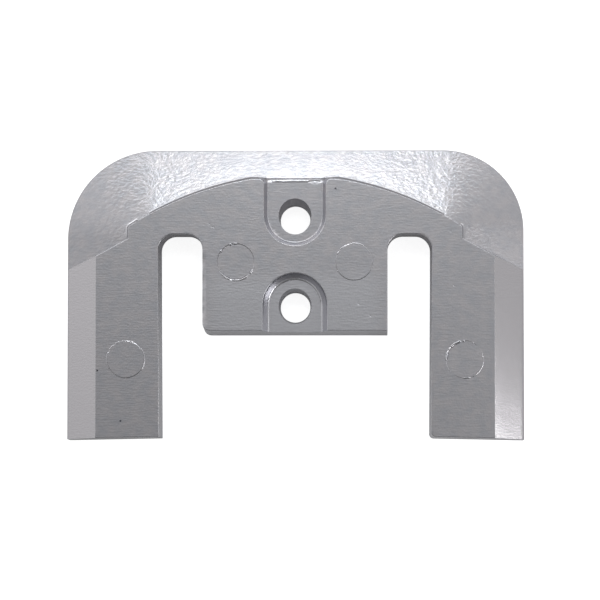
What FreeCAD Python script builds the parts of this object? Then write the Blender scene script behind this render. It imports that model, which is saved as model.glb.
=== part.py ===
import FreeCAD
import Part
import math
import os

# A sacrificial anode plate for a boat, cast in one piece and held by two bolts on its
# middle line. Two arms and a short tab between them hang from a wide sloping rim.
#
# X runs across the arms, Y along the line of the bolts and Z out of the mounting face,
# which lies in the plane Z = 0. The origin is on that face, midway between the bolts.
# Sizes are in millimetres and angles in degrees.

# Outline, taken at the mounting face
plate_width = 144.0
top_reach = 35.9
arm_reach = 55.8
arm_end_slant = 1.1
tab_reach = 22.5
tab_width = 58.3
arm_taper = 0.4
slot_width = 13.6
slot_reach = 8.9
corner_radius_left = 28.2
corner_radius_right = 25.4
slot_corner_radius = 4.8
tab_corner_radius = 2.4
arm_corner_radius = 1.4

# Heights above the mounting face, and the draft that frees the casting from its mould
thickness = 12.5
edge_height = 7.0
side_draft = 0.8
arm_end_draft = 4.0
tab_end_draft = 5.5

# Sloping flats along the outer sides of the arms
chamfer_width = 9.6

# Raised face: a flat crest, an arc down to each shoulder, a short notch, and a slanting
# step from the notch to the outer side
rim_width = 9.55
crest_width = 27.6
arch_bulge = 2.1
shoulder_inset = 19.6
shoulder_drop = 24.45
shoulder_step = 1.1
notch_height = 3.8
step_angle = 28.5
step_draft = 9.0
shoulder_radius = 1.2

# Bolt holes: a straight bore that opens to an oval mouth, which leans towards the rim and
# starts a little inside the bore's wall
bolt_spacing = 27.6
bore_radius = 4.75
mouth_radius = 5.15
mouth_stretch = 0.45
top_mouth_lift = 1.0
low_mouth_lift = 0.3
mouth_start_gap = 0.15
mouth_start_height = 4.6
bore_edge_break = 0.3

# Pockets that sink the bolt heads: one opens over the rim, the other over the tab's end
top_pocket_width = 19.4
top_pocket_depth = 2.2
top_pocket_draft = 25.0
top_pocket_lift = 1.3
top_root_radius = 0.5
low_pocket_width = 20.4
low_pocket_depth = 2.9
low_pocket_draft = 30.0
low_pocket_lift = 0.5
low_root_radius = 1.0
pocket_mouth_radius = 1.8

# Round marks that the mould's push-out pins leave in the face
pin_mark_radius = 5.9
pin_mark_depth = 0.12
pin_mark_arm_inset = 19.0
pin_mark_arm_reach = 30.2
pin_mark_tab_spacing = 37.1
pin_mark_tab_reach = 0.3

# Softened edges: rounding around the raised face, and a narrow break along the outer edge
face_edge_radius = 0.25
outer_edge_break = 0.15

# Room by which a cutting shape passes the metal that it cuts, and what counts as level
margin = 3.0
level_within = 0.01

half_width = plate_width / 2
tab_half = tab_width / 2
arm_inner = tab_half + slot_width
bolt_y = bolt_spacing / 2


def slant(angle, height):
    """How far a wall at this draft leans in over this height."""
    return height * math.tan(math.radians(angle))


def rounded_wire(corners, z):
    """A closed wire at height z through corners (x, y, radius), each rounded by its radius."""
    points = [FreeCAD.Vector(x, y, z) for x, y, radius in corners]
    count = len(points)
    starts, ends, arcs = [], [], []
    for i, point in enumerate(points):
        radius = corners[i][2]
        if radius <= 0:
            starts.append(point)
            ends.append(point)
            arcs.append(None)
            continue
        back = (points[i - 1] - point).normalize()
        ahead = (points[(i + 1) % count] - point).normalize()
        half_angle = back.getAngle(ahead) / 2
        middle = (back + ahead).normalize()
        centre = point + middle * (radius / math.sin(half_angle))
        start = point + back * (radius / math.tan(half_angle))
        end = point + ahead * (radius / math.tan(half_angle))
        starts.append(start)
        ends.append(end)
        arcs.append(Part.Arc(start, centre - middle * radius, end).toShape())
    edges = []
    for i in range(count):
        if arcs[i]:
            edges.append(arcs[i])
        edges.append(Part.makeLine(ends[i], starts[(i + 1) % count]))
    return Part.Wire(edges)


def drafted_solid(lower_wire, upper_wire):
    """A solid between two level wires with matching edges: flat walls, and cones at the arcs."""
    faces = [Part.Face(lower_wire), Part.Face(upper_wire)]
    for low, high in zip(lower_wire.OrderedEdges, upper_wire.OrderedEdges):
        if isinstance(low.Curve, Part.Line):
            a, b = low.firstVertex().Point, low.lastVertex().Point
            c, d = high.lastVertex().Point, high.firstVertex().Point
            faces.append(Part.Face(Part.makePolygon([a, b, c, d, a])))
        else:
            faces += Part.makeLoft([Part.Wire(low), Part.Wire(high)], False, True).Faces
    shell = Part.Shell(faces)
    shell.sewShape()
    # removeSplitter also turns every face of the solid outwards
    return Part.Solid(shell).removeSplitter()


def plate_outline(z):
    """The outline of the whole plate at height z, drawn in by the draft of its walls."""
    side = slant(side_draft, z)
    outer = half_width - side
    tab = tab_half - side
    lowest = -arm_reach + slant(arm_end_draft, z)
    arm_end = lowest + slant(arm_end_slant, half_width - outer)
    tab_end = -tab_reach + slant(tab_end_draft, z)
    slot_top = slot_reach + side
    slot_round = slot_corner_radius + side
    # The slanted end line and the tapered inner wall of an arm cross at (inner_low, inner_end)
    inner = arm_inner + side
    way_down = slot_top - lowest - slant(arm_end_slant, half_width)
    cross_lean = slant(arm_taper, slant(arm_end_slant, 1))
    inner_low = (inner - slant(arm_taper, way_down)) / (1 + cross_lean)
    inner_end = lowest + slant(arm_end_slant, half_width - inner_low)
    corners = [
        (-outer, arm_end, 0),
        (-inner_low, inner_end, 0),
        (-inner, slot_top, slot_round),
        (-tab, slot_top, slot_round),
        (-tab, tab_end, tab_corner_radius),
        (tab, tab_end, 0),
        (tab, slot_top, slot_round),
        (inner, slot_top, slot_round),
        (inner_low, inner_end, arm_corner_radius),
        (outer, arm_end, 0),
        (outer, top_reach - side, corner_radius_right - side),
        (-outer, top_reach - side, corner_radius_left - side),
    ]
    return rounded_wire(corners, z)


def rim_height(inset):
    """Height of the sloping rim at this distance in from the outer edge."""
    slope = (thickness - shoulder_step - edge_height) / shoulder_inset
    return edge_height + inset * slope


def outer_outline(inset, z):
    """The outer sides and top at height z, drawn in by inset from the rim's outer edge."""
    drawn_in = slant(side_draft, edge_height) + inset
    outer = half_width - drawn_in
    top = top_reach - drawn_in
    bottom = -arm_reach - margin
    corners = [
        (-outer, bottom, 0),
        (outer, bottom, 0),
        (outer, top, corner_radius_right - drawn_in),
        (-outer, top, corner_radius_left - drawn_in),
    ]
    return rounded_wire(corners, z)


def raised_outline(z):
    """The outline of the raised face, spread by the draft of its step below the face."""
    spread = slant(step_draft, thickness - z)
    crest = FreeCAD.Vector(crest_width / 2, top_reach - rim_width, z)
    shoulder = FreeCAD.Vector(half_width - shoulder_inset, top_reach - shoulder_drop, z)
    chord = shoulder - crest
    normal = FreeCAD.Vector(-chord.y, chord.x, 0).normalize()
    radius = (chord.Length / 2) ** 2 / (2 * arch_bulge) + arch_bulge / 2
    centre = (crest + shoulder) * 0.5 + normal * (arch_bulge - radius)
    wide = radius + spread

    crest_y = crest.y + spread
    crest_x = centre.x + math.sqrt(wide ** 2 - (crest_y - centre.y) ** 2)
    shoulder_x = shoulder.x + spread
    shoulder_y = centre.y + math.sqrt(wide ** 2 - (shoulder_x - centre.x) ** 2)
    middle_x = (crest_x + shoulder_x) / 2
    middle_y = centre.y + math.sqrt(wide ** 2 - (middle_x - centre.x) ** 2)

    lean = math.radians(step_angle)
    foot = shoulder.y - notch_height
    side_x = half_width + margin

    def step_y(x):
        return foot + (spread - (x - shoulder.x) * math.sin(lean)) / math.cos(lean)

    bottom = -arm_reach - margin
    right = [
        FreeCAD.Vector(side_x, bottom, z),
        FreeCAD.Vector(side_x, step_y(side_x), z),
        FreeCAD.Vector(shoulder_x, step_y(shoulder_x), z),
        FreeCAD.Vector(shoulder_x, shoulder_y, z),
        FreeCAD.Vector(crest_x, crest_y, z),
    ]
    left = [FreeCAD.Vector(-p.x, p.y, p.z) for p in reversed(right)]
    bulge_right = FreeCAD.Vector(middle_x, middle_y, z)
    bulge_left = FreeCAD.Vector(-middle_x, middle_y, z)
    edges = [Part.makeLine(a, b) for a, b in zip(right[:-2], right[1:-1])]
    edges.append(Part.Arc(right[-2], bulge_right, right[-1]).toShape())
    edges.append(Part.makeLine(right[-1], left[0]))
    edges.append(Part.Arc(left[0], bulge_left, left[1]).toShape())
    edges += [Part.makeLine(a, b) for a, b in zip(left[1:-1], left[2:])]
    edges.append(Part.makeLine(left[-1], right[0]))
    return Part.Wire(edges)


def raised_block():
    """Everything under the raised face, with the upright corners of its shoulders rounded."""
    block = drafted_solid(raised_outline(0), raised_outline(thickness + margin))
    shoulder_x = half_width - shoulder_inset
    shoulder_y = top_reach - shoulder_drop
    upright = []
    for edge in block.Edges:
        low, high = edge.BoundBox.ZMin, edge.BoundBox.ZMax
        middle = edge.CenterOfMass
        near_x = abs(abs(middle.x) - shoulder_x) < margin
        near_y = abs(middle.y - shoulder_y) < notch_height / 2
        if high - low > thickness and near_x and near_y:
            upright.append(edge)
    return block.makeFillet(shoulder_radius, upright)


def rim_cut():
    """What is cut away above the rim, outside the raised face."""
    slab = Part.makeBox(
        plate_width + 4 * margin,
        top_reach + arm_reach,
        thickness,
        FreeCAD.Vector(-half_width - 2 * margin, -arm_reach / 2, rim_height(-margin / 2)),
    )
    low, high = -margin, shoulder_inset + margin
    under_rim = drafted_solid(
        outer_outline(low, rim_height(low)), outer_outline(high, rim_height(high))
    )
    return slab.cut(under_rim).cut(raised_block())


def outer_edge_cut():
    """What the narrow break takes off along the outer sides and top, at 45 degrees."""
    foot = edge_height - outer_edge_break
    room = 2 * (thickness - edge_height)
    frame = Part.makeBox(
        plate_width + 2 * margin,
        top_reach + arm_reach + 4 * margin,
        room,
        FreeCAD.Vector(-half_width - margin, -arm_reach - 2 * margin, foot - outer_edge_break),
    )
    inside = drafted_solid(
        outer_outline(-room, foot - room), outer_outline(room, foot + room)
    )
    return frame.cut(inside)


def chamfer_cut(side):
    """The wedge above the sloping flat of one arm; side is 1 at the right, -1 at the left."""
    face_x = half_width - chamfer_width
    edge_x = half_width - slant(side_draft, edge_height)
    slope = (thickness - edge_height) / (edge_x - face_x)
    profile = [
        (face_x - margin, thickness + margin * slope),
        (edge_x + margin, edge_height - margin * slope),
        (edge_x + margin, thickness + margin * slope),
    ]
    start_y = -arm_reach - margin
    points = [FreeCAD.Vector(side * x, start_y, z) for x, z in profile]
    face = Part.Face(Part.makePolygon(points + points[:1]))
    return face.extrude(FreeCAD.Vector(0, arm_reach + top_reach, 0))


def pocket_outline(width, draft, centre_y, end_y, z):
    """A slot with one round end, at height z on the leaning wall of a pocket."""
    radius = width / 2 + slant(draft, z - thickness)
    way = 1 if end_y > centre_y else -1
    left = FreeCAD.Vector(-radius, centre_y, z)
    right = FreeCAD.Vector(radius, centre_y, z)
    far_left = FreeCAD.Vector(-radius, end_y, z)
    far_right = FreeCAD.Vector(radius, end_y, z)
    tip = FreeCAD.Vector(0, centre_y - way * radius, z)
    return Part.Wire([
        Part.Arc(left, tip, right).toShape(),
        Part.makeLine(right, far_right),
        Part.makeLine(far_right, far_left),
        Part.makeLine(far_left, left),
    ])


def pocket_cut(width, draft, centre_y, end_y, depth, root_radius):
    """The shape of a pocket, with its root rounded where the wall meets the floor."""
    floor = thickness - depth
    tool = drafted_solid(
        pocket_outline(width, draft, centre_y, end_y, floor),
        pocket_outline(width, draft, centre_y, end_y, thickness + margin),
    )
    root = []
    for edge in tool.Edges:
        box = edge.BoundBox
        flat = box.ZMax - floor < level_within
        closing = box.YMax - box.YMin < level_within
        if flat and not closing:
            root.append(edge)
    return tool.makeFillet(root_radius, root)


def oval(half_across, half_along, y, z):
    """A level closed wire, longer along Y than across, or a circle where both are equal."""
    edge = Part.Ellipse(FreeCAD.Vector(0, 0, 0), half_along, half_across).toShape()
    edge.rotate(FreeCAD.Vector(0, 0, 0), FreeCAD.Vector(0, 0, 1), 90)
    edge.translate(FreeCAD.Vector(0, y, z))
    return Part.Wire([edge])


def bore_cut(y, lift, floor):
    """One bolt hole: a straight bore, a leaning oval mouth and a broken back edge."""
    base = FreeCAD.Vector(0, y, -margin)
    bore = Part.makeCylinder(bore_radius, thickness + 2 * margin, base)
    # The mouth starts inside the bore, so that the two walls cross in one clean line
    start_radius = bore_radius - mouth_start_gap
    mouth = Part.makeLoft(
        [
            oval(start_radius, start_radius, y, mouth_start_height),
            oval(mouth_radius, mouth_radius + mouth_stretch, y + lift, floor),
        ],
        True,
        True,
    )
    back = Part.makeCone(
        bore_radius + bore_edge_break, bore_radius, bore_edge_break, FreeCAD.Vector(0, y, 0)
    )
    return bore.fuse(mouth).fuse(back)


def pin_marks():
    """The four shallow round marks, one on each arm and two on the tab."""
    arm_x = half_width - pin_mark_arm_inset
    tab_x = pin_mark_tab_spacing / 2
    places = [
        (-arm_x, -pin_mark_arm_reach),
        (arm_x, -pin_mark_arm_reach),
        (-tab_x, pin_mark_tab_reach),
        (tab_x, pin_mark_tab_reach),
    ]
    bottom = thickness - pin_mark_depth
    return [
        Part.makeCylinder(pin_mark_radius, margin, FreeCAD.Vector(x, y, bottom))
        for x, y in places
    ]


def pocket_mouths(plate):
    """The two upright edges where the top pocket opens through the crest of the step."""
    crest_y = top_reach - rim_width
    found = []
    for edge in plate.Edges:
        box = edge.BoundBox
        middle = edge.CenterOfMass
        upright = box.ZMax - box.ZMin > top_pocket_depth / 2
        beside = abs(abs(middle.x) - top_pocket_width / 2) < pocket_mouth_radius
        if upright and beside and abs(middle.y - crest_y) < pocket_mouth_radius:
            found.append(edge)
    return found


def face_edges(plate):
    """The edges all round the raised face, its pockets among them."""
    level = [
        face for face in plate.Faces
        if isinstance(face.Surface, Part.Plane)
        and abs(face.CenterOfMass.z - thickness) < level_within
    ]
    widest = max(level, key=lambda face: face.Area)
    return widest.OuterWire.Edges


def anode_plate():
    """The whole casting."""
    plate = drafted_solid(plate_outline(0), plate_outline(thickness))
    top_pocket = pocket_cut(
        top_pocket_width,
        top_pocket_draft,
        bolt_y + top_pocket_lift,
        top_reach + margin,
        top_pocket_depth,
        top_root_radius,
    )
    low_pocket = pocket_cut(
        low_pocket_width,
        low_pocket_draft,
        -bolt_y + low_pocket_lift,
        -tab_reach - margin,
        low_pocket_depth,
        low_root_radius,
    )
    cuts = [
        rim_cut(),
        chamfer_cut(1),
        chamfer_cut(-1),
        outer_edge_cut(),
        top_pocket,
        low_pocket,
        bore_cut(bolt_y, top_mouth_lift, thickness - top_pocket_depth),
        bore_cut(-bolt_y, low_mouth_lift, thickness - low_pocket_depth),
    ]
    for cut in cuts:
        plate = plate.cut(cut)
    plate = plate.makeFillet(pocket_mouth_radius, pocket_mouths(plate))
    plate = plate.makeFillet(face_edge_radius, face_edges(plate))
    for mark in pin_marks():
        plate = plate.cut(mark)
    return plate


os.makedirs("parts", exist_ok=True)
anode = anode_plate()
anode.exportStep("parts/anode_plate.step")
print("solids", len(anode.Solids), "valid", anode.isValid(), "volume", round(anode.Volume, 1))
print("box", anode.BoundBox)
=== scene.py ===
# %% [markdown]
# # A sacrificial anode plate
#
# This part is bolted under the waterline of a boat. It is one flat casting of soft metal that
# corrodes in place of the hull and the drive. The plate lies on its back, and we look down on it.
#
# The shape itself comes from the CAD model. Our work is the skin of the metal: the pebbled rim,
# the dull flat face, the marks that the mould left behind, and the light that shows them.

import math

import bmesh
import bpy
from mathutils import Matrix, Vector, noise


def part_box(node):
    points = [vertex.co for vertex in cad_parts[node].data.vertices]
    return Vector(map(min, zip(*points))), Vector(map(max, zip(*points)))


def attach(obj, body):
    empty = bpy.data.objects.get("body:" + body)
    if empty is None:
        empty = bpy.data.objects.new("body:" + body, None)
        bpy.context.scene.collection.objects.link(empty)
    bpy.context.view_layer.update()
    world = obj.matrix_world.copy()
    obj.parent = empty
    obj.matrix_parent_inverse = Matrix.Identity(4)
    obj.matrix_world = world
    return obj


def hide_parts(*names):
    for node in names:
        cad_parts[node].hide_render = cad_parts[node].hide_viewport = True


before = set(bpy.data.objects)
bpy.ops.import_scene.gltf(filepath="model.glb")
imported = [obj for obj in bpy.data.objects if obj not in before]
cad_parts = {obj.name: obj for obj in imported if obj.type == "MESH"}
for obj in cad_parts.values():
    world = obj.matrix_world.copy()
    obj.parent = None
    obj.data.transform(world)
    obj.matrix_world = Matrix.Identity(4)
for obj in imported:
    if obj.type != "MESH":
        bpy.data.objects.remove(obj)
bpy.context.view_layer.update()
mm = 0.001
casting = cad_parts["anode_plate"]
low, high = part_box("anode_plate")
size = high - low
print("the casting measures", [round(side / mm, 1) for side in size], "mm")

# %% [markdown]
# ## A copy of the casting that can be worked on
#
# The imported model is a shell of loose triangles: neighbours share a place but not a vertex. It
# could be shown as it is, but a surface that isn't joined can't be shaded smoothly, and it has no
# spare vertices to carry the unevenness of cast metal. So we copy it, join the vertices that
# meet, and dissolve the edges that lie inside flat areas. What is left are the real edges. Only
# the back keeps its triangles, because two holes go through it and one face can't have a hole.

# %% Join the loose triangles
weld_distance = 0.002 * mm
flat_angle = math.radians(0.2)


def top_of(element):
    """The height of the highest vertex of an edge or a face."""
    return max(vertex.co.z for vertex in element.verts)


skin = bmesh.new()
skin.from_mesh(casting.data)
bmesh.ops.remove_doubles(skin, verts=skin.verts, dist=weld_distance)
raised_verts = [vertex for vertex in skin.verts if vertex.co.z > weld_distance]
raised_edges = [edge for edge in skin.edges if top_of(edge) > weld_distance]
bmesh.ops.dissolve_limit(
    skin,
    angle_limit=flat_angle,
    use_dissolve_boundaries=False,
    verts=raised_verts,
    edges=raised_edges,
    delimit=set(),
)
for edge in skin.edges:
    edge.smooth = True
open_edges = [edge for edge in skin.edges if not edge.is_manifold]
print("joined:", len(skin.verts), "vertices,", len(skin.faces), "faces,", len(open_edges), "open edges")

# %% [markdown]
# ## The marks of the push-out pins
#
# Four pins push the casting out of its mould and leave a round mark each. They never end quite
# level with the mould: here two marks stand proud by less than a tenth of a millimetre, one is
# sunk, and one is tipped. That is why each ring catches the light on another side. A painted ring
# would look the same from everywhere. Moving the real disc doesn't, so we lower the face by a
# hair, draw each disc in a little to give it a sloping wall, and set it at its own height.

# %% Set the discs
face_level = high.z
pin_depth = 0.12 * mm
skim = 0.07 * mm
skim_reach = 0.5 * mm
level_normal = 0.99

# How high each disc stands at two ends of a diagonal, and how wide its wall is, in millimetres.
pins = {
    "left_arm": {"upper_left": 0.06, "lower_right": 0.06, "wall": 0.25},
    "left_tab": {"upper_left": -0.05, "lower_right": -0.05, "wall": 0.25},
    "right_tab": {"upper_left": 0.06, "lower_right": 0.04, "wall": 0.25},
    "right_arm": {"upper_left": -0.07, "lower_right": 0.06, "wall": 0.14},
}

discs = {}
for face in skin.faces:
    centre = face.calc_center_median()
    if face.normal.z > level_normal and abs(centre.z - face_level + pin_depth) < weld_distance:
        side = "left" if centre.x < 0 else "right"
        member = "arm" if abs(centre.x) > size.x / 4 else "tab"
        discs[side + "_" + member] = face

for vertex in skin.verts:
    above = vertex.co.z - (face_level - skim_reach)
    if above > 0:
        vertex.co.z -= skim * above / skim_reach

for name, disc in discs.items():
    pin = pins[name]
    centre = disc.calc_center_median()
    radius = max((vertex.co - centre).xy.length for vertex in disc.verts)
    shrink = 1 - pin["wall"] * mm / radius
    for vertex in disc.verts:
        out = (vertex.co - centre) / radius
        diagonal = (out.x - out.y) / math.sqrt(2)
        share = 0.5 + diagonal / 2
        lift = pin["upper_left"] * (1 - share) + pin["lower_right"] * share
        vertex.co.x = centre.x + out.x * radius * shrink
        vertex.co.y = centre.y + out.y * radius * shrink
        vertex.co.z = face_level - skim + lift * mm
    inner = set(disc.verts)
    nearby = {edge for vertex in disc.verts for face in vertex.link_faces for edge in face.edges}
    for edge in nearby:
        # The edges across the wall stay smooth, and the rings at its top and foot turn sharp.
        edge.smooth = len(inner.intersection(edge.verts)) == 1
skin.normal_update()
print("pin marks:", sorted(discs))

# %% [markdown]
# ## Metal in the root of the step
#
# Where the rim meets the wall of the step, a casting is never sharp: the metal fills the corner
# with a small hollow rounding. It shows as a bright band beside a dark line. A Bevel modifier
# would round every edge of the plate alike, so we bevel just this line with the operator. On an
# edge that points inwards it adds metal instead of taking it away. We look for edges with the
# gentle slope of the rim on one side and a steep, high enough wall on the other. The middle is
# left out, because there the upper pocket ends in a lip of its own.

# %% Fill the root of the step
rim_lean = math.radians(12.6)
lean_slack = math.radians(2.5)
root_reach = 0.62 * mm
root_segments = 4
least_wall = 1.25 * root_reach
lip_half = 9.8 * mm
wall_lean = math.radians(60)


def lean_of(face):
    """The angle between a face and the level, in radians."""
    return face.normal.angle(Vector((0, 0, 1)), math.pi)


def tallness(face):
    """How far a face reaches upwards."""
    return top_of(face) - min(vertex.co.z for vertex in face.verts)


root = []
for edge in skin.edges:
    if len(edge.link_faces) != 2:
        continue
    gentle, steep = sorted(edge.link_faces, key=lean_of)
    middle = steep.calc_center_median()
    on_rim = abs(lean_of(gentle) - rim_lean) < lean_slack
    on_wall = lean_of(steep) > wall_lean and tallness(steep) > least_wall
    if on_rim and on_wall and middle.z > top_of(edge) and abs(middle.x) >= lip_half:
        root.append(edge)
bmesh.ops.bevel(
    skin,
    geom=root,
    offset=root_reach,
    offset_type="OFFSET",
    segments=root_segments,
    profile=0.5,
    affect="EDGES",
    clamp_overlap=False,
    material=-1,
)
skin.normal_update()
print("root edges filled:", len(root))

# %% [markdown]
# ## Enough vertices to hold a texture
#
# A flat area needs vertices before it can be anything but flat. A Subdivision modifier would
# round the crisp edges, and a remesh would blur them. Cutting the skin with evenly spaced planes
# keeps every edge where it is and leaves neat square cells between them. The back isn't cut,
# because it was ground flat and has nothing to show.

# %% Cut the front into cells
cell = 1.2 * mm
backward = -0.5
front_kind = 0
back_kind = 1

for face in skin.faces:
    face.material_index = back_kind if face.normal.z < backward else front_kind


def cut_at(mesh, axis, place):
    """Cuts the front of the mesh with one plane square to an axis."""
    point = Vector((0, 0, 0))
    point[axis] = place
    normal = Vector((0, 0, 0))
    normal[axis] = 1
    front = [face for face in mesh.faces if face.material_index == front_kind]
    bmesh.ops.bisect_plane(
        mesh,
        geom=mesh.verts[:] + mesh.edges[:] + front,
        dist=weld_distance,
        plane_co=point,
        plane_no=normal,
    )


for axis in (0, 1):
    cells = round(size[axis] / cell)
    for index in range(1, cells):
        cut_at(skin, axis, low[axis] + size[axis] * index / cells)
print("cut into", len(skin.faces), "faces")

# %% [markdown]
# ## Finer cells on the rim
#
# The sloping rim has the pebbled look of an orange peel. Its pebbles are about a millimetre
# wide, so the cells there have to be smaller. The rim is easy to find: all its faces lean by the
# same angle and hang together. The sloping flats of the arms are found in the same way.

# %% Find the rim and divide its cells
flank_lean = math.radians(29.8)
rim_cuts = 2


def patches(mesh, lean):
    """Groups the faces that lean by this angle into connected patches, the widest first."""
    leaning = [face for face in mesh.faces if abs(lean_of(face) - lean) < lean_slack]
    waiting = set(leaning)
    found = []
    for first in leaning:
        if first not in waiting:
            continue
        waiting.remove(first)
        patch = [first]
        for face in patch:
            for edge in face.edges:
                for neighbour in edge.link_faces:
                    if neighbour in waiting:
                        waiting.remove(neighbour)
                        patch.append(neighbour)
        found.append(patch)
    found.sort(key=lambda patch: sum(face.calc_area() for face in patch), reverse=True)
    return found


def edges_of(faces):
    """Lists the edges of some faces, each one once."""
    return list(dict.fromkeys(edge for face in faces for edge in face.edges))


rim_faces = patches(skin, rim_lean)[0]
bmesh.ops.subdivide_edges(skin, edges=edges_of(rim_faces), cuts=rim_cuts, use_grid_fill=True)
skin.normal_update()
rim_faces = patches(skin, rim_lean)[0]
flanks = patches(skin, flank_lean)
flank_faces = flanks[0] + flanks[1]
print("rim:", len(rim_faces), "faces; flanks:", len(flank_faces), "faces")

# %% [markdown]
# ## Corners without facets
#
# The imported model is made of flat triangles, so the rim's two round corners are cut like a gem,
# and every facet would end in a hard line of light. Smoothing the vertices would wear the rim's
# borders down as well. But we know the true surface: a cone round the middle of each corner, as
# steep as the straight rim. So each vertex is set to the height of that cone.

# %% Round the corners again
corner_radius = {"left": 28.2 * mm, "right": 25.4 * mm}
straight_half = 10 * mm

rim_verts = list(dict.fromkeys(vertex for face in rim_faces for vertex in face.verts))
straight = [vertex.co for vertex in rim_verts if abs(vertex.co.x) < straight_half]
near = min(straight, key=lambda place: place.y)
far = max(straight, key=lambda place: place.y)
steepness = (near.z - far.z) / (far.y - near.y)
largest_shift = 0
for vertex in rim_verts:
    side = "left" if vertex.co.x < 0 else "right"
    radius = corner_radius[side]
    beyond = abs(vertex.co.x) - (size.x / 2 - radius)
    above = vertex.co.y - (high.y - radius)
    if beyond > 0 and above > 0:
        inward = radius - math.hypot(beyond, above)
        height = far.z + steepness * (inward - (high.y - far.y))
        largest_shift = max(largest_shift, abs(height - vertex.co.z))
        vertex.co.z = height
skin.normal_update()
print("largest shift:", round(largest_shift / mm, 4), "mm")

# %% [markdown]
# ## The finishes on one skin
#
# The same metal looks different where it was treated differently: grainy on the rim, polished in
# the rim's middle, smoother on the flats of the arms, shiny on every small rounded edge that
# hands and tools have rubbed, and dull elsewhere. The tab is also a little paler in tone.
# Separate materials would meet in hard lines. One material that reads numbers stored on the
# faces can fade from one finish to the next, as the rim does towards its corners.

# %% Store the finishes
grain_full = 48 * mm
grain_gone = 68 * mm
polish_full = 18 * mm
polish_gone = 60 * mm
pale_half = 31 * mm
pale_fade = 9 * mm
pale_most = 0.9
pocket_depth = 2.2 * mm
pocket_end = 23 * mm
level_lean = math.radians(5)
upright_lean = math.radians(80)


def smooth_step(value, start, stop):
    """Grows gently from 0 at start to 1 at stop."""
    share = min(max((value - start) / (stop - start), 0), 1)
    return share * share * (3 - 2 * share)


def in_top_pocket(place):
    """Whether a place lies deep in the upper pocket, whose floor leans but isn't an edge."""
    deep = place.z < face_level - pocket_depth / 2
    return deep and abs(place.x) < lip_half and 0 < place.y < pocket_end


sloped = skin.loops.layers.float.new("sloped")
pebbled = skin.loops.layers.float.new("pebbled")
polished = skin.loops.layers.float.new("polished")
smoothed = skin.loops.layers.float.new("smoothed")
rubbed = skin.loops.layers.float.new("rubbed")
tab_pale = skin.loops.layers.float.new("tab_pale")
rim_set = set(rim_faces)
flank_set = set(flank_faces)
for face in skin.faces:
    leans = level_lean < lean_of(face) < upright_lean
    small_edge = leans and not in_top_pocket(face.calc_center_median())
    for loop in face.loops:
        place = loop.vert.co
        # How much paler the tab's grey is: it fades in at the tab's sides and below the plate's middle.
        beside = smooth_step(pale_half - abs(place.x), 0, pale_fade)
        loop[tab_pale] = pale_most * beside * smooth_step(-place.y, 0, pale_fade)
        if face in rim_set:
            loop[sloped] = 1
            loop[pebbled] = 1 - smooth_step(abs(place.x), grain_full, grain_gone)
            loop[polished] = 1 - smooth_step(abs(place.x), polish_full, polish_gone)
        elif face in flank_set:
            loop[smoothed] = 1
        elif small_edge:
            loop[rubbed] = 1
print("finishes stored on", len(skin.faces), "faces")

# %% [markdown]
# ## Uneven metal
#
# Molten metal shrinks as it sets, so no cast face is dead flat: it swells and sinks over the
# width of a finger, and the rim is pebbled on top. We lower vertices by smooth noise and never
# raise them, which keeps the plate inside its measured size.

# %% Lower the skin unevenly
pebble_width = 1.3 * mm
pebble_depth = 0.02 * mm
swell_width = 8 * mm
swell_depth = 0.03 * mm
front_start = 6 * mm
calming_rounds = 2
well_inside = 0.9

# How far inside the rim each vertex lies, from 0 at the border to 1: the pebbles fade with it.
skin.verts.index_update()
inside_rim = []
for vertex in skin.verts:
    inside_rim.append(1.0 if all(face in rim_set for face in vertex.link_faces) else 0.0)
for _ in range(calming_rounds):
    calmer = []
    for vertex in skin.verts:
        around = [inside_rim[edge.other_vert(vertex).index] for edge in vertex.link_edges]
        calmer.append(min(inside_rim[vertex.index], sum(around) / len(around)))
    inside_rim = calmer

for vertex in skin.verts:
    if vertex.co.z < front_start:
        continue
    swell = noise.noise(vertex.co / swell_width)
    pebble = noise.noise(vertex.co / pebble_width)
    drop = swell_depth * (1 - swell) / 2
    beside = abs(vertex.co.x)
    grainy = 1 - smooth_step(beside, grain_full, grain_gone)
    strength = smooth_step(beside, 0, polish_gone) * grainy
    drop += pebble_depth * (1 - pebble) / 2 * strength * inside_rim[vertex.index]
    vertex.co.z -= drop
print("vertices well inside the rim:", sum(1 for value in inside_rim if value > well_inside))

# %% [markdown]
# ## A dressed edge and a chipped lip
#
# The left edge of the tab was dressed with a file, which leaves a narrow band that leans a
# little. The lip of the upper pocket is crisp, a little wavy, and chipped: we draw its rounding
# tighter with a fourth power, which stays flat for long and then falls steeply. The band and the
# chip are too small for the cells, so the cells there are divided first.

# %% File the tab's edge and chip the lip
tab_left = -29.1 * mm
tab_low = -21.4 * mm
tab_high = 4.5 * mm
dressed_width = 1.6 * mm
dressed_margin = 1.3
dressed_drop = 0.5 * mm
dressed_reach = 1.0 * mm
low_fade = 4 * mm
high_fade = 6 * mm
file_bite = 0.8
file_swing = 0.3
file_width = 1.5 * mm
lip_side = 8.2 * mm
lip_back = 25.1 * mm
lip_start = 25.7 * mm
lip_end = 26.85 * mm
lip_skim = skim / 3
lip_fall = 1.05 * mm
lip_power = 4
lip_wave = 0.12 * mm
pocket_floor = face_level - pocket_depth
chip_middle = Vector((6.2, 25.9, 0)) * mm
chip_half = Vector((1.8, 0.9, 0)) * mm
chip_depth = 0.4 * mm
chip_reach = 0.5 * mm
small_cuts = 2
upward = 0.3


def divide_where(mesh, inside, cuts):
    """Divides the front faces whose middles pass a test."""
    front = [face for face in mesh.faces if face.normal.z > upward]
    chosen = [face for face in front if inside(face.calc_center_median())]
    bmesh.ops.subdivide_edges(mesh, edges=edges_of(chosen), cuts=cuts, use_grid_fill=True)


def on_dressed(place):
    """Whether a place of the face lies in the filed band or just beside it."""
    beside = tab_left < place.x < tab_left + dressed_width * dressed_margin
    return beside and tab_low < place.y < tab_high and place.z > face_level - dressed_reach


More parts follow.
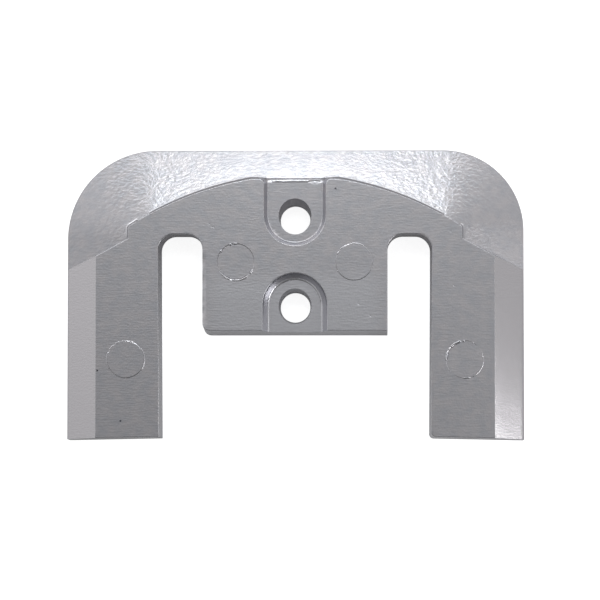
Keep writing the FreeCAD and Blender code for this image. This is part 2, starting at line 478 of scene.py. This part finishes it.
def on_lip(place):
    """Whether a place lies on the rounding where the upper pocket's floor ends."""
    above_root = pocket_floor - lip_fall < place.z < pocket_floor + skim
    return abs(place.x) < lip_side and lip_back < place.y < lip_end and above_root


def near_chip(place):
    """Whether a place lies round the chip."""
    away = place - chip_middle
    return abs(away.x) < 2 * chip_half.x and abs(away.y) < 2 * chip_half.y


divide_where(skin, on_dressed, small_cuts)
divide_where(skin, near_chip, small_cuts)
for vertex in skin.verts:
    place = vertex.co
    if on_lip(place):
        wavy = place.y + lip_wave * noise.noise(place / mm)
        along = (wavy - lip_start) / (lip_end - lip_start)
        vertex.co.z = pocket_floor - lip_skim - lip_fall * max(along, 0) ** lip_power
    if on_dressed(place):
        nearness = 1 - min((place.x - tab_left) / dressed_width, 1)
        low_end = smooth_step(place.y, tab_low, tab_low + low_fade)
        high_end = smooth_step(-place.y, -tab_high, -tab_high + high_fade)
        ends = low_end * high_end
        rough_edge = file_bite + file_swing * noise.noise(place / file_width)
        filed_level = face_level - skim - dressed_drop * nearness * ends * rough_edge
        vertex.co.z = min(place.z, filed_level)
    away = place - chip_middle
    reach = (away.x / chip_half.x) ** 2 + (away.y / chip_half.y) ** 2
    if reach < 1 and place.z > pocket_floor - chip_reach:
        vertex.co.z -= chip_depth * (1 - reach)
print("skin after dressing:", len(skin.faces), "faces")

# %% [markdown]
# ## Pits and specks
#
# Gas bubbles leave pinholes in a casting, and knocks leave shallow dents. A deep pinhole looks
# black, and a shallow dent sparkles, because one of its walls faces the lamp. Each one is a cell
# that is inset, moved to its spot and poked down to a point.

# %% Sink the pits
pit_radius = 0.28 * mm
pinhole_depth = 0.55 * mm
dent_depth = 0.12 * mm
pit_upward = 0.5
least_margin = 0.1
most_shift = 0.8

# Where the pits lie, in millimetres from the middle between the bolts.
pinholes = [(-54.5, -49.7), (18.3, 29.1), (12.7, 23.3), (-62.0, -34.0)]
dents = [(-26.6, 12.2), (-25.9, 11.3), (-25.2, 10.7), (48.9, 9.4)]
dents += [(54.4, 11.7), (49.6, -7.3), (19.9, -12.9), (23.8, -16.8)]


def sink_pit(mesh, x, y, radius, depth):
    """Makes a pointed pit in the cell at one spot of the front."""
    spot = Vector((x, y, 0)) * mm
    facing = (face for face in mesh.faces if face.normal.z > pit_upward)
    chosen = min(facing, key=lambda face: (face.calc_center_median() - spot).xy.length)
    width = math.sqrt(chosen.calc_area())
    margin = max(width / 2 - radius, least_margin * width)
    bmesh.ops.inset_individual(mesh, faces=[chosen], thickness=margin, use_even_offset=True)
    shift = spot - chosen.calc_center_median()
    shift.z = 0
    if shift.length > most_shift * margin:
        shift *= most_shift * margin / shift.length
    bmesh.ops.translate(mesh, verts=chosen.verts, vec=shift)
    bmesh.ops.poke(mesh, faces=[chosen], offset=-depth)


for x, y in pinholes:
    sink_pit(skin, x, y, pit_radius, pinhole_depth)
for x, y in dents:
    sink_pit(skin, x, y, pit_radius, dent_depth)
print("pits:", len(pinholes) + len(dents))

# %% [markdown]
# ## From working mesh to piece
#
# The plate should shade smoothly over its small roundings and break at its real corners. Shading
# each face flat would show the cells. So edges sharper than a limit are marked, and a Weighted
# Normal modifier lets the wide faces decide the shading, which keeps them looking flat.

# %% Make the piece
crease_angle = math.radians(24)

for edge in skin.edges:
    if edge.calc_face_angle(0) > crease_angle:
        edge.smooth = False
for face in skin.faces:
    face.material_index = 0
    face.smooth = True
plate_mesh = bpy.data.meshes.new("cast_plate")
skin.to_mesh(plate_mesh)
skin.free()
plate = bpy.data.objects.new("cast_plate", plate_mesh)
bpy.context.collection.objects.link(plate)
weighted = plate.modifiers.new("even_shading", "WEIGHTED_NORMAL")
weighted.keep_sharp = True
triangles = sum(len(polygon.vertices) - 2 for polygon in plate_mesh.polygons)
print("plate:", triangles, "triangles")

# %% [markdown]
# ## Slivers of flash
#
# Metal creeps into the gap round a pin and sets as a thin broken fence. Each sliver is made
# by spinning a small triangle round the pin's middle and merging both of its ends to a point.
# Bending a straight strip would need a curve. Spinning gives the bend at once.

# %% Raise the slivers
sliver_half = 0.58 * mm
sliver_foot = 0.08 * mm
sliver_crest = 0.065 * mm
ring_radius = 5.8 * mm
step_degrees = 3
fewest_steps = 2
left_tab_pin = Vector((-18.55, 0.3, 0)) * mm
right_tab_pin = Vector((18.55, 0.3, 0)) * mm
left_arm_pin = Vector((-53.0, -30.2, 0)) * mm
right_arm_pin = Vector((53.0, -30.2, 0)) * mm

# Where the fence round each pin stands: pairs of angles in degrees, counted from the right.
left_tab_arcs = [(84, 99), (101, 112), (124, 131), (137, 149)]
left_tab_arcs += [(204, 211), (216, 254), (256, 312), (318, 338)]
right_arm_arcs = [(60, 66), (88, 97), (99, 140), (143, 152), (157, 186), (262, 290), (292, 372)]
left_arm_arcs = [(62, 80), (84, 91), (95, 104), (107, 126), (128, 152), (155, 212), (322, 398)]
right_tab_arcs = [(58, 108), (124, 141), (144, 160), (205, 214)]

slivers = bmesh.new()
shine = slivers.loops.layers.float.new("rubbed")


def add_sliver(middle, start, stop):
    """Spins one sliver round a pin, between two angles in degrees."""
    level = face_level - skim
    section = [
        (ring_radius - sliver_half, level - sliver_foot),
        (ring_radius, level + sliver_crest),
        (ring_radius + sliver_half, level - sliver_foot),
    ]
    turned = Matrix.Rotation(math.radians(start), 3, "Z")
    corners = []
    for x, z in section:
        corners.append(slivers.verts.new(middle + turned @ Vector((x, 0, 0)) + Vector((0, 0, z))))
    triangle = slivers.faces.new(corners)
    steps = max(fewest_steps, round((stop - start) / step_degrees))
    spun = bmesh.ops.spin(
        slivers,
        geom=[triangle],
        cent=middle,
        axis=(0, 0, 1),
        angle=math.radians(stop - start),
        steps=steps,
        use_merge=False,
    )
    last = [item for item in spun["geom_last"] if isinstance(item, bmesh.types.BMVert)]
    for end in (corners, last):
        point = sum((vertex.co for vertex in end), Vector()) / 3
        point.z = level - sliver_foot
        bmesh.ops.pointmerge(slivers, verts=end, merge_co=point)


rings = [
    (left_tab_pin, left_tab_arcs),
    (right_arm_pin, right_arm_arcs),
    (left_arm_pin, left_arm_arcs),
    (right_tab_pin, right_tab_arcs),
]
for middle, arcs in rings:
    for start, stop in arcs:
        add_sliver(middle, start, stop)
bmesh.ops.recalc_face_normals(slivers, faces=slivers.faces)
for face in slivers.faces:
    face.smooth = True
    for loop in face.loops:
        loop[shine] = 1
flash_mesh = bpy.data.meshes.new("pin_flash")
slivers.to_mesh(flash_mesh)
slivers.free()
flash = bpy.data.objects.new("pin_flash", flash_mesh)
bpy.context.collection.objects.link(flash)
print("flash:", len(flash_mesh.polygons), "faces")

# %% [markdown]
# ## Cast metal
#
# Cast metal is a dull mirror. A flat grey would look like plastic, so the surface is metallic,
# its tint drifts a little from cool to warm, and its roughness follows the stored finishes. The
# finest grain is too small for vertices and comes from bump. On the face it is a noise of small
# specks, with the same noise drawn out sideways on top: the faint streaks that flowing metal
# leaves. On the rim the specks are wider, like the peel of an orange.

# %% Mix the metal
cool_grey = (0.475, 0.477, 0.508, 1)
warm_grey = (0.53, 0.515, 0.535, 1)
tab_pale_grey = (0.56, 0.56, 0.59, 1)
face_roughness = 0.38
rim_roughness = 0.27
polished_roughness = 0.22
flank_roughness = 0.25
rubbed_roughness = 0.20
face_relief = 0.05
flank_relief = 0.05
rim_relief = 0.145
polished_relief = 0.025
relief_depth = 1.0 * mm
mottle_width = 3
mottle_low = 0.35
mottle_high = 0.65
speck_width = 0.6
streak_width = 0.5
streak_stretch = 6
peel_width = 0.9
peel_stretch = 1.4

metal = bpy.data.materials.new("dull_cast_metal")
metal.use_nodes = True
nodes = metal.node_tree.nodes
links = metal.node_tree.links
shader = nodes["Principled BSDF"]
shader.inputs["Metallic"].default_value = 1
coordinates = nodes.new("ShaderNodeTexCoord")


def grain(width, detail, stretch=1.0):
    """Adds a noise whose spots are this many millimetres wide, drawn out along X by stretch."""
    in_mm = nodes.new("ShaderNodeMapping")
    in_mm.inputs["Scale"].default_value = (1 / mm / stretch, 1 / mm, 1 / mm)
    links.new(coordinates.outputs["Object"], in_mm.inputs["Vector"])
    node = nodes.new("ShaderNodeTexNoise")
    node.inputs["Scale"].default_value = 1 / width
    node.inputs["Detail"].default_value = detail
    links.new(in_mm.outputs["Vector"], node.inputs["Vector"])
    return node.outputs["Fac"]


def stored(name):
    """Reads one of the finishes stored on the faces."""
    node = nodes.new("ShaderNodeAttribute")
    node.attribute_name = name
    return node.outputs["Fac"]


def toward(start, finish, amount):
    """Moves a reading to another value by an amount between 0 and 1."""
    node = nodes.new("ShaderNodeMapRange")
    links.new(amount, node.inputs["Value"])
    if isinstance(start, float):
        node.inputs["To Min"].default_value = start
    else:
        links.new(start, node.inputs["To Min"])
    node.inputs["To Max"].default_value = finish
    return node.outputs["Result"]


tint = nodes.new("ShaderNodeMix")
tint.data_type = "RGBA"
tint.inputs["A"].default_value = cool_grey
tint.inputs["B"].default_value = warm_grey
mottle = nodes.new("ShaderNodeMapRange")
mottle.inputs["From Min"].default_value = mottle_low
mottle.inputs["From Max"].default_value = mottle_high
links.new(grain(mottle_width, detail=5), mottle.inputs["Value"])
links.new(toward(mottle.outputs["Result"], 1.0, stored("smoothed")), tint.inputs["Factor"])
# The tab is mixed towards a paler grey, which fades in below the middle of the plate.
lighter = nodes.new("ShaderNodeMix")
lighter.data_type = "RGBA"
lighter.inputs["B"].default_value = tab_pale_grey
links.new(tint.outputs["Result"], lighter.inputs["A"])
links.new(stored("tab_pale"), lighter.inputs["Factor"])
links.new(lighter.outputs["Result"], shader.inputs["Base Color"])

rough = toward(face_roughness, rim_roughness, stored("sloped"))
rough = toward(rough, polished_roughness, stored("polished"))
rough = toward(rough, flank_roughness, stored("smoothed"))
rough = toward(rough, rubbed_roughness, stored("rubbed"))
links.new(rough, shader.inputs["Roughness"])

fine = nodes.new("ShaderNodeMath")
fine.operation = "ADD"
links.new(grain(speck_width, detail=3), fine.inputs[0])
links.new(grain(streak_width, detail=2, stretch=streak_stretch), fine.inputs[1])
heights = nodes.new("ShaderNodeMix")
links.new(stored("sloped"), heights.inputs["Factor"])
links.new(fine.outputs["Value"], heights.inputs["A"])
links.new(grain(peel_width, detail=2, stretch=peel_stretch), heights.inputs["B"])
bump = nodes.new("ShaderNodeBump")
bump.inputs["Distance"].default_value = relief_depth
relief = toward(face_relief, rim_relief, stored("pebbled"))
relief = toward(relief, polished_relief, stored("polished"))
relief = toward(relief, flank_relief, stored("smoothed"))
links.new(relief, bump.inputs["Strength"])
links.new(heights.outputs["Result"], bump.inputs["Height"])
links.new(bump.outputs["Normal"], shader.inputs["Normal"])
plate_mesh.materials.append(metal)
flash_mesh.materials.append(metal)
print("material:", metal.name, "with", len(nodes), "nodes")

# %% [markdown]
# ## The floor
#
# The plate lies on a pale floor that looks white. Turning the lamps up until the floor is white
# would burn out the metal. Instead the floor adds a little light of its own where the camera
# looks at it, and less where the metal mirrors it, so that the walls of the slots stay dark.

# %% Lay the floor
floor_reach = 3.0
floor_grey = 0.6
floor_roughness = 0.9
camera_lift = 0.84
mirror_lift = 0.07

floor_mesh = bpy.data.meshes.new("floor")
sheet = bmesh.new()
bmesh.ops.create_grid(sheet, x_segments=1, y_segments=1, size=floor_reach)
sheet.to_mesh(floor_mesh)
sheet.free()
floor = bpy.data.objects.new("floor", floor_mesh)
bpy.context.collection.objects.link(floor)
paint = bpy.data.materials.new("pale_floor")
paint.use_nodes = True
floor_nodes = paint.node_tree.nodes
floor_links = paint.node_tree.links
floor_shader = floor_nodes["Principled BSDF"]
floor_shader.inputs["Base Color"].default_value = (floor_grey, floor_grey, floor_grey, 1)
floor_shader.inputs["Roughness"].default_value = floor_roughness
floor_shader.inputs["Specular IOR Level"].default_value = 0.0
floor_shader.inputs["Emission Color"].default_value = (1, 1, 1, 1)
floor_mesh.materials.append(paint)

path = floor_nodes.new("ShaderNodeLightPath")
mirrored = floor_nodes.new("ShaderNodeMath")
mirrored.operation = "MAXIMUM"
floor_links.new(path.outputs["Is Glossy Ray"], mirrored.inputs[0])
floor_links.new(path.outputs["Is Transmission Ray"], mirrored.inputs[1])
seen = floor_nodes.new("ShaderNodeMapRange")
seen.inputs["To Max"].default_value = camera_lift
floor_links.new(path.outputs["Is Camera Ray"], seen.inputs["Value"])
lift = floor_nodes.new("ShaderNodeMapRange")
lift.inputs["To Max"].default_value = mirror_lift
floor_links.new(mirrored.outputs["Value"], lift.inputs["Value"])
floor_links.new(seen.outputs["Result"], lift.inputs["To Min"])
floor_links.new(lift.outputs["Result"], floor_shader.inputs["Emission Strength"])

# %% [markdown]
# ## Soft light from all round
#
# Metal shows what surrounds it, so the surroundings matter more than the lamps. The studio is
# plain: a little brighter at the left, at the right and behind the rim than straight above, and
# hardly brighter in front. An even world would leave the sloping flats as grey as the face.

# %% Build the studio light
plain_level = 0.109
left_glow = 0.47
right_glow = 0.294
upper_glow = 0.45
lower_glow = 0.12
sideways = 0.9
glow_foot = -0.2
upper_full = 0.3

world = bpy.data.worlds.new("studio")
bpy.context.scene.world = world
world.use_nodes = True
world_nodes = world.node_tree.nodes
world_links = world.node_tree.links
sky = world_nodes["Background"]
sky.inputs["Color"].default_value = (1, 1, 1, 1)
heading = world_nodes.new("ShaderNodeTexCoord")
parts = world_nodes.new("ShaderNodeSeparateXYZ")
world_links.new(heading.outputs["Generated"], parts.inputs["Vector"])


def glow(axis, start, stop, gain):
    """Adds light that grows smoothly from one reading of an axis to another."""
    ramp = world_nodes.new("ShaderNodeMapRange")
    ramp.interpolation_type = "SMOOTHSTEP"
    ramp.inputs["From Min"].default_value = start
    ramp.inputs["From Max"].default_value = stop
    ramp.inputs["To Max"].default_value = gain
    world_links.new(parts.outputs[axis], ramp.inputs["Value"])
    return ramp.outputs["Result"]


def added(first, second):
    """Adds two readings."""
    node = world_nodes.new("ShaderNodeMath")
    world_links.new(first, node.inputs[0])
    world_links.new(second, node.inputs[1])
    return node.outputs["Value"]


sides = added(glow("X", 0, -sideways, left_glow), glow("X", 0, sideways, right_glow))
back_and_front = added(
    glow("Y", glow_foot, upper_full, upper_glow),
    glow("Y", glow_foot, -sideways, lower_glow),
)
level = world_nodes.new("ShaderNodeMath")
level.inputs[1].default_value = plain_level
world_links.new(added(sides, back_and_front), level.inputs[0])
world_links.new(level.outputs["Value"], sky.inputs["Strength"])

# %% [markdown]
# ## Four soft boxes
#
# A small box above the rim gives the rim its white middle, and a wide one below it spreads that
# light towards the corners. A third at the lower right lights the end of the right flat, and a
# fourth at the right draws bright lines on small edges. Their places follow from mirrors: a face
# shines where it leans halfway between the lamp and the eye.

# %% Hang the lamps
stage_middle = Vector((0, -0.01, 0.01))
daylight = (0.955, 0.99, 1.0)
white = (1, 1, 1)


def soft_lamp(name, distance, elevation, azimuth, width, height, radiance, colour):
    """Hangs an area lamp round the plate, facing it, as bright per unit of its face as asked."""
    rise = math.radians(elevation)
    turn = math.radians(azimuth)
    level_part = math.cos(rise)
    outward = Vector((math.cos(turn) * level_part, math.sin(turn) * level_part, math.sin(rise)))
    light = bpy.data.lights.new(name, "AREA")
    light.shape = "RECTANGLE"
    light.size = width
    light.size_y = height
    light.energy = radiance * math.pi * width * height
    light.color = colour
    lamp = bpy.data.objects.new(name, light)
    lamp.location = stage_middle + outward * distance
    lamp.rotation_euler = (-outward).to_track_quat("-Z", "Y").to_euler()
    lamp.visible_camera = False
    bpy.context.collection.objects.link(lamp)


soft_lamp("key_box", distance=0.5, elevation=63, azimuth=92,
          width=0.12, height=0.10, radiance=5.4, colour=daylight)
soft_lamp("wide_box", distance=0.6, elevation=40, azimuth=93,
          width=1.50, height=0.22, radiance=1.5, colour=daylight)
soft_lamp("side_box", distance=0.3, elevation=28, azimuth=-27,
          width=0.15, height=0.10, radiance=4.2, colour=white)
soft_lamp("right_box", distance=0.5, elevation=58, azimuth=-8,
          width=0.12, height=0.12, radiance=1.3, colour=white)

# %% [markdown]
# ## The camera
#
# The photograph was taken from well above, a little below the middle of the plate. A long lens
# from 0.7 m keeps the two arms nearly parallel, as in the photograph, while the walls of the
# slots still show. The lens follows from the width that the frame covers at that distance.

# %% Place the camera
camera_distance = 0.700
camera_tilt = math.radians(2.1)
camera_swing = math.radians(1.2)
frame_width = 0.19104
aim = Vector((0.00135, -0.0112, 0))

camera_data = bpy.data.cameras.new("camera")
camera = bpy.data.objects.new("camera", camera_data)
bpy.context.collection.objects.link(camera)
turned = Matrix.Rotation(camera_swing, 3, "Y") @ Matrix.Rotation(camera_tilt, 3, "X")
camera.location = aim + turned @ Vector((0, 0, camera_distance))
camera.rotation_euler = turned.to_euler()
camera_data.sensor_width = 36
camera_data.lens = camera_data.sensor_width * camera_distance / frame_width
camera_data.clip_start = 0.01
bpy.context.scene.camera = camera
bpy.context.scene.view_settings.view_transform = "Standard"

# %% [markdown]
# ## Hand over
#
# Last, each piece is told which body it rides on, and the worked skin takes the place of the plain
# casting.

# %% Hand over the pieces
for piece in (plate, flash):
    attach(piece, "root")
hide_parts("anode_plate")
